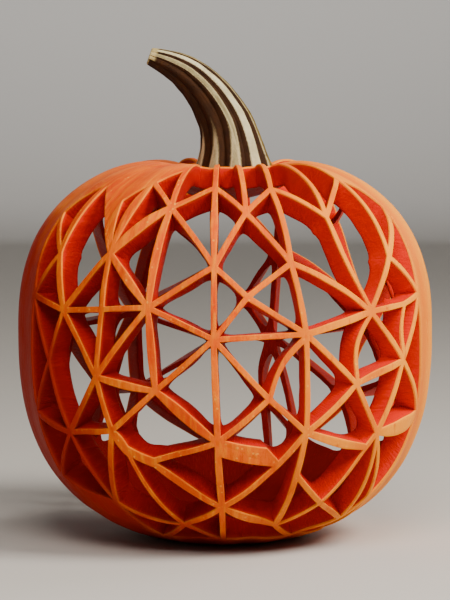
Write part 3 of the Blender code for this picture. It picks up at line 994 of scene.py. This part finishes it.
# Its patterns, and how much of each shows; a height is a ridge's own with its paleness, partly painted
# light and shade, and fibres added
STEM_GLOSS = 0.2
STEM_FIBRE_STRETCH = 9.0
STEM_FIBRES = Grain(60.0, 4.0, 0.6)
STEM_FIBRE_HEIGHT = 0.3
STEM_FIBRE_TONE = 0.25
STEM_FIBRE_RANGE = Range(0.55, 0.75, 0.0, 0.5)
STEM_MOTTLE = Grain(120.0, 3.0, 0.5)
STEM_MOTTLE_RANGE = Range(0.35, 0.65)
STEM_CREST = Range(1.74, 1.92)
STEM_TONE_RANGE = Range(0.1, 1.1)
STEM_HIGHLIGHT_RISE = Range(1.80, 1.90)
STEM_HIGHLIGHT_FALL = Range(2.02, 1.94)
STEM_HIGHLIGHT_SHARE = 0.6
STEM_ROUGHNESS = Range(0.3, 0.7, 0.6, 0.85)
STEM_PORES = Grain(500.0, 4.0, 0.7)
STEM_PORE_RELIEF = Relief(0.5, 0.0006)
STEM_FIBRE_RELIEF = Relief(0.8, 0.0014)


def stem_finish():
    """Dry stem: nearly black brown in the grooves, cream to olive on the ridges, tan where it is cut;
    painted light pales its right side and painted shade darkens its left.
    """
    stem = Finish("stem", Specular_IOR_Level=STEM_GLOSS)
    place = stem.place()
    fibres = stem.noise(stem.meridians(STEM_FIBRE_STRETCH), STEM_FIBRES)
    mottle = stem.noise(place, STEM_MOTTLE)
    mottled = stem.spread(mottle, STEM_MOTTLE_RANGE)
    # The pale attribute raises the ridges to cream as painted light on the right and keeps them brown as
    # painted shade on the left
    ridge = stem.plus(stem.attribute("ridge"), stem.attribute("pale"))
    height = stem.plus(ridge, stem.times(fibres, STEM_FIBRE_HEIGHT))
    tone = stem.plus(stem.attribute("tone"), stem.times(fibres, STEM_FIBRE_TONE))
    cream = stem.blend(mottled, *STEM_CREAM)
    olive = stem.blend(mottled, *STEM_OLIVE)
    top = stem.blend(stem.spread(tone, STEM_TONE_RANGE), cream, olive)
    # Painted highlight: pale lines along both edges of each crest
    border = stem.times(stem.spread(height, STEM_HIGHLIGHT_RISE), stem.spread(height, STEM_HIGHLIGHT_FALL))
    top = stem.blend(stem.times(border, STEM_HIGHLIGHT_SHARE), top, STEM_PAINTED_HIGHLIGHT)
    groove = stem.blend(mottled, *STEM_GROOVE)
    groove = stem.blend(stem.spread(fibres, STEM_FIBRE_RANGE), groove, STEM_FIBRE)
    shade = stem.blend(stem.spread(height, STEM_CREST), groove, top)
    shade = stem.blend(stem.attribute("tip"), shade, stem.blend(mottled, *STEM_CUT))
    pores = stem.bump(stem.noise(place, STEM_PORES), STEM_PORE_RELIEF)
    stem.show(shade, stem.spread(fibres, STEM_ROUGHNESS), stem.bump(fibres, STEM_FIBRE_RELIEF, pores))
    return stem.material


STUDIO_SHADE = colour(196, 193, 189)
STUDIO_ROUGHNESS = 0.9
STUDIO_GLOSS = 0.1


def studio():
    """A pale floor that curves up into a wall all round, so that no edge of it shows from any side."""
    build = bmesh.new()
    rings = []
    for radius, height in STUDIO_PROFILE:
        circle = bmesh.ops.create_circle(build, segments=STUDIO_SIDES, radius=radius)["verts"]
        for point in circle:
            point.co.z = height
        rings.append(circle)
    build.faces.new(rings[0])
    for lower, upper in zip(rings, rings[1:]):
        for number in range(STUDIO_SIDES):
            after = (number + 1) % STUDIO_SIDES
            build.faces.new((lower[number], lower[after], upper[after], upper[number]))
    bmesh.ops.recalc_face_normals(build, faces=build.faces)
    bmesh.ops.reverse_faces(build, faces=build.faces)
    pale = Finish("studio", Base_Color=STUDIO_SHADE, Roughness=STUDIO_ROUGHNESS,
                  Specular_IOR_Level=STUDIO_GLOSS)
    data = bpy.data.meshes.new("studio")
    build.to_mesh(data)
    build.free()
    data.shade_smooth()
    data.materials.append(pale.material)
    floor = bpy.data.objects.new("studio", data)
    bpy.context.scene.collection.objects.link(floor)


def area_light(name, lamp):
    data = bpy.data.lights.new(name, "AREA")
    data.size = lamp.size
    data.energy = lamp.power
    data.color = lamp.shade
    light = bpy.data.objects.new(name, data)
    bpy.context.scene.collection.objects.link(light)
    light.location = VIEW_TARGET + direction(lamp.azimuth, 90 - lamp.elevation) * lamp.distance
    light.rotation_euler = (VIEW_TARGET - light.location).to_track_quat("-Z", "Y").to_euler()
    return light


def lights():
    made = {name: area_light(name, lamp) for name, lamp in LAMPS.items()}
    made["wall"].rotation_euler = (math.radians(WALL_LAMP_TILT), 0.0, 0.0)
    world = bpy.data.worlds.new("world")
    bpy.context.scene.world = world
    world.use_nodes = True
    background = world.node_tree.nodes["Background"]
    background.inputs["Color"].default_value = WORLD_SHADE
    background.inputs["Strength"].default_value = WORLD_STRENGTH


def camera():
    data = bpy.data.cameras.new("camera")
    data.lens = VIEW_LENS
    data.sensor_width = VIEW_SENSOR
    view = bpy.data.objects.new("camera", data)
    bpy.context.scene.collection.objects.link(view)
    view.location = eye()
    view.rotation_euler = (VIEW_TARGET - view.location).to_track_quat("-Z", "Y").to_euler()
    bpy.context.scene.camera = view


def dress(piece):
    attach(piece, BODY)
    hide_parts(NODE)


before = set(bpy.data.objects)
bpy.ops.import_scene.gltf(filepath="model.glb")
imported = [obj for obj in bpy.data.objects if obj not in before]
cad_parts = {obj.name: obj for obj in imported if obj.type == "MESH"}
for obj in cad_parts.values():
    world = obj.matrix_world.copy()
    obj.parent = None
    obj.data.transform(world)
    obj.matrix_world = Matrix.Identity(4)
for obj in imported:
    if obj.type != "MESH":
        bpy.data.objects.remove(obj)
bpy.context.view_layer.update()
camera()
lights()
studio()
net = Net()
dress(finished("carved_rind", Layer(net, RIND_SECTION).mesh, rind_finish(), SHARP_ANGLE))
dress(finished("cut_flesh", Layer(net, FLESH_SECTION).mesh, flesh_finish(), SHARP_ANGLE))
dress(finished("ridged_stem", stem_mesh(), stem_finish(), STEM_SHARP_ANGLE))
